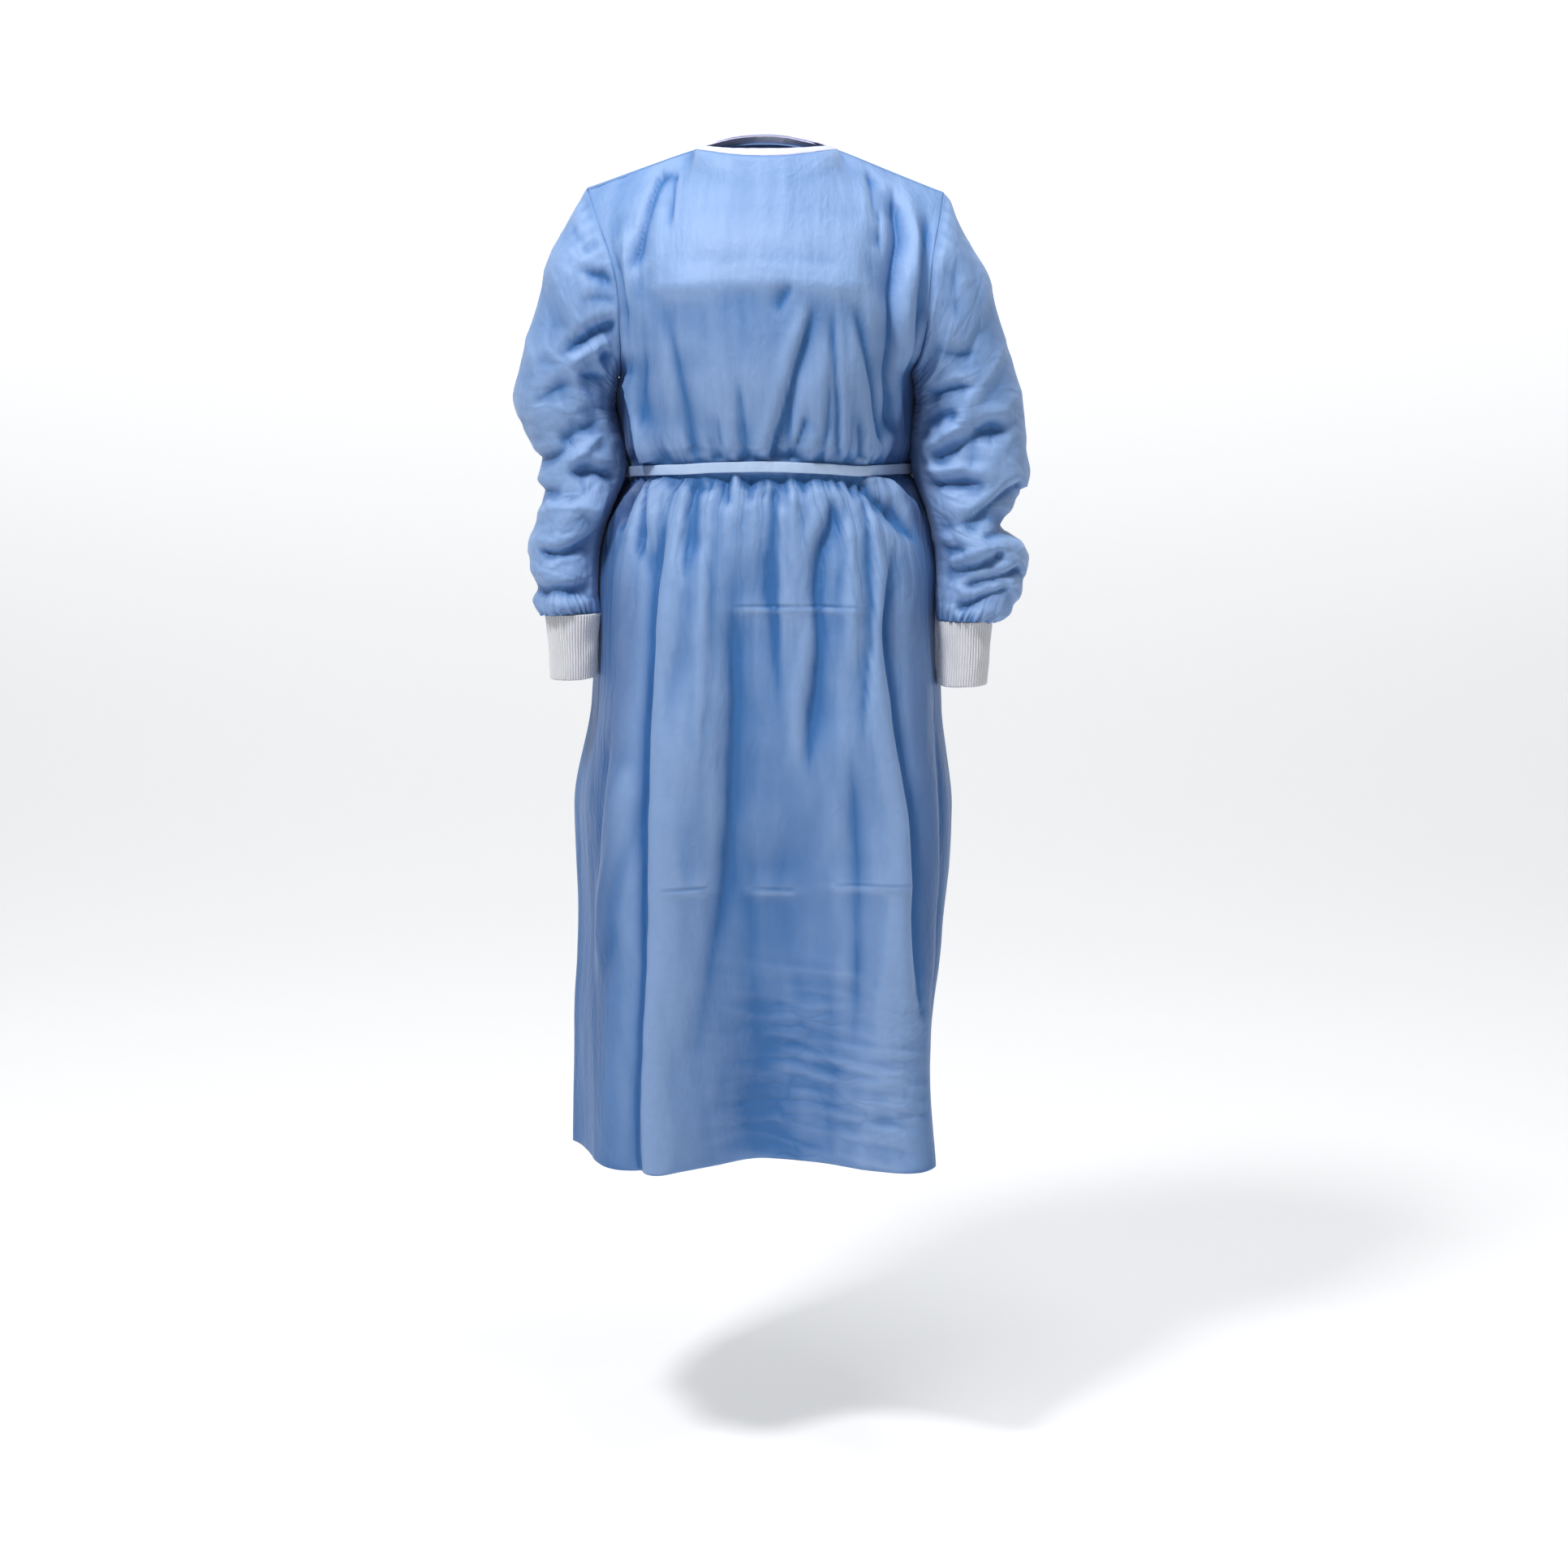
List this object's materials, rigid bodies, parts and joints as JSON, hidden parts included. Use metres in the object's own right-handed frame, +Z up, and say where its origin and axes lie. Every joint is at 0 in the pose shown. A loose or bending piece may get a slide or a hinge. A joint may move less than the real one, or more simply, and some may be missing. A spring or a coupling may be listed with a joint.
{
  "type": "isolation gown",
  "caption": "Worn-form isolation gown: hollow light blue nonwoven gown to mid-calf with set-in long sleeves, knitted cuffs, bound round neck, lapped back and a tied belt.",
  "frame": {"origin": "on the midline at the height of the high points of the shoulder, in the plane of the shoulder seams, where the wearer's neck and shoulders hold the gown up", "axes": "+Z up, front faces -Y, +X is the wearer's left"},
  "size_m": [0.556, 0.3238, 1.1093],
  "materials": {
    "gown_cloth": "soft low sheen, spunbond nonwoven with a fine bond pattern",
    "belt_cloth": "soft low sheen, the gown's nonwoven cloth folded into a strip, paler",
    "binding_tape": "matt pale tape",
    "cuff_knit": "matt ribbed knit"
  },
  "bodies": {
    "root": {"front": "gown_cloth", "back_left": "gown_cloth", "back_right": "gown_cloth", "sleeve_left": "gown_cloth", "sleeve_right": "gown_cloth", "cuff_left": "cuff_knit", "cuff_right": "cuff_knit", "neck_binding": "binding_tape", "belt": "belt_cloth", "belt_knot": "belt_cloth", "belt_tail_left": "belt_cloth", "belt_tail_right": "belt_cloth"}
  },
  "joints": []
}
